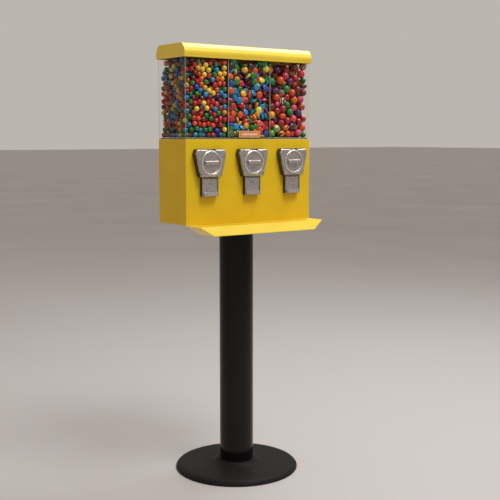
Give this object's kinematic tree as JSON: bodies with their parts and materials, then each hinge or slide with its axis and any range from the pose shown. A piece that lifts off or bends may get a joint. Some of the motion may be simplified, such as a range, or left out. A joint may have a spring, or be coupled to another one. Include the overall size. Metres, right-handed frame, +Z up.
{
  "type": "candy bulk dispenser",
  "caption": "Candy vending head with clear compartments, coin mechanisms with turning handles, chute flaps and catch tray, lift-off lid and rear coin drawer, on a tube pole with a round base.",
  "frame": {"origin": "on the floor at the axis of the pole and of the round base", "axes": "+Z up, the front with the coin mechanisms faces -Y, +X is the machine's width"},
  "size_m": [0.394, 0.324, 1.1068],
  "materials": {
    "yellow_paint": "gloss",
    "black_enamel": "high gloss",
    "cast_base": "painted, satin",
    "cast_zinc": "hammered cast zinc alloy, satin",
    "zinc_plate": "zinc plated",
    "lock_chrome": "polished",
    "clear_plastic": "clear plastic sheet",
    "white_plastic": "moulded",
    "grey_plastic": "moulded",
    "candy_balls": "candy shell",
    "candy_buttons": "candy shell",
    "candy_large": "candy shell"
  },
  "bodies": {
    "stand_and_head": {"base_disc": "cast_base", "stand_pole": "black_enamel", "pole_top_flange": "black_enamel", "tie_rod": "zinc_plate", "rod_nut_lower": "zinc_plate", "rod_nut_upper": "zinc_plate", "cabinet_wrap": "yellow_paint", "front_panel": "yellow_paint", "cabinet_floor": "yellow_paint", "delivery_tray": "yellow_paint", "drawer_rail_left": "zinc_plate", "drawer_rail_right": "zinc_plate", "clear_canister": "clear_plastic", "hopper_plate": "grey_plastic", "divider_left": "clear_plastic", "divider_right": "clear_plastic", "candy_fill_1": "candy_balls", "candy_fill_2": "candy_buttons", "candy_fill_3": "candy_large", "lock_bridge": "zinc_plate", "coin_mech_housing_1": "cast_zinc", "mech_back_plate_1": "zinc_plate", "wheel_pan_1": "grey_plastic", "candy_chute_1": "grey_plastic", "chute_bezel_1": "cast_zinc", "flap_pin_1": "zinc_plate", "coin_mech_housing_2": "cast_zinc", "mech_back_plate_2": "zinc_plate", "wheel_pan_2": "grey_plastic", "candy_chute_2": "grey_plastic", "chute_bezel_2": "cast_zinc", "flap_pin_2": "zinc_plate", "coin_mech_housing_3": "cast_zinc", "mech_back_plate_3": "zinc_plate", "wheel_pan_3": "grey_plastic", "candy_chute_3": "grey_plastic", "chute_bezel_3": "cast_zinc", "flap_pin_3": "zinc_plate"},
    "coin_drive_1": {"coin_handle_1": "cast_zinc", "coin_carrier_1": "zinc_plate", "drive_gear_1": "white_plastic"},
    "vend_wheel_1": {"candy_wheel_1": "white_plastic"},
    "flap_1": {"chute_flap_1": "cast_zinc"},
    "coin_drive_2": {"coin_handle_2": "cast_zinc", "coin_carrier_2": "zinc_plate", "drive_gear_2": "white_plastic"},
    "vend_wheel_2": {"candy_wheel_2": "white_plastic"},
    "flap_2": {"chute_flap_2": "cast_zinc"},
    "coin_drive_3": {"coin_handle_3": "cast_zinc", "coin_carrier_3": "zinc_plate", "drive_gear_3": "white_plastic"},
    "vend_wheel_3": {"candy_wheel_3": "white_plastic"},
    "flap_3": {"chute_flap_3": "cast_zinc"},
    "lid_body": {"lid": "yellow_paint", "lid_lock_barrel": "lock_chrome"},
    "lid_lock": {"lid_lock_cam": "lock_chrome"},
    "drawer": {"coin_drawer": "yellow_paint", "drawer_lock_barrel": "lock_chrome"},
    "drawer_lock": {"drawer_lock_cam": "lock_chrome"}
  },
  "joints": [
    {"name": "handle_turn_1", "type": "hinge", "parent": "stand_and_head", "child": "coin_drive_1", "pos_m": [-0.12933, -0.078, 0.816], "axis": [0, 1, 0], "continuous": true},
    {"name": "wheel_turn_1", "type": "hinge", "parent": "stand_and_head", "child": "vend_wheel_1", "pos_m": [-0.12933, 0.004, 0.858], "axis": [0, 0, 1], "continuous": true},
    {"name": "flap_swing_1", "type": "hinge", "parent": "stand_and_head", "child": "flap_1", "pos_m": [-0.12933, -0.0709, 0.7754], "axis": [-1, 0, 0], "range_deg": [0, 70]},
    {"name": "handle_turn_2", "type": "hinge", "parent": "stand_and_head", "child": "coin_drive_2", "pos_m": [0, -0.078, 0.816], "axis": [0, 1, 0], "continuous": true},
    {"name": "wheel_turn_2", "type": "hinge", "parent": "stand_and_head", "child": "vend_wheel_2", "pos_m": [0, 0.004, 0.858], "axis": [0, 0, 1], "continuous": true},
    {"name": "flap_swing_2", "type": "hinge", "parent": "stand_and_head", "child": "flap_2", "pos_m": [0, -0.0709, 0.7754], "axis": [-1, 0, 0], "range_deg": [0, 70]},
    {"name": "handle_turn_3", "type": "hinge", "parent": "stand_and_head", "child": "coin_drive_3", "pos_m": [0.12933, -0.078, 0.816], "axis": [0, 1, 0], "continuous": true},
    {"name": "wheel_turn_3", "type": "hinge", "parent": "stand_and_head", "child": "vend_wheel_3", "pos_m": [0.12933, 0.004, 0.858], "axis": [0, 0, 1], "continuous": true},
    {"name": "flap_swing_3", "type": "hinge", "parent": "stand_and_head", "child": "flap_3", "pos_m": [0.12933, -0.0709, 0.7754], "axis": [-1, 0, 0], "range_deg": [0, 70]},
    {"name": "lid_lift", "type": "slide", "parent": "stand_and_head", "child": "lid_body", "axis": [0, 0, 1], "range_m": [0, 0.06]},
    {"name": "lid_lock_turn", "type": "hinge", "parent": "lid_body", "child": "lid_lock", "pos_m": [0, 0, 1.106], "axis": [0, 0, 1], "range_deg": [0, 90]},
    {"name": "drawer_slide", "type": "slide", "parent": "stand_and_head", "child": "drawer", "axis": [0, 1, 0], "range_m": [0, 0.1]},
    {"name": "drawer_lock_turn", "type": "hinge", "parent": "drawer", "child": "drawer_lock", "pos_m": [0, 0.062, 0.703], "axis": [0, -1, 0], "range_deg": [0, 90]}
  ],
  "couplings": [
    {"joint": "wheel_turn_1", "follows": "handle_turn_1", "ratio": 0.66667},
    {"joint": "wheel_turn_2", "follows": "handle_turn_2", "ratio": 0.66667},
    {"joint": "wheel_turn_3", "follows": "handle_turn_3", "ratio": 0.66667}
  ]
}
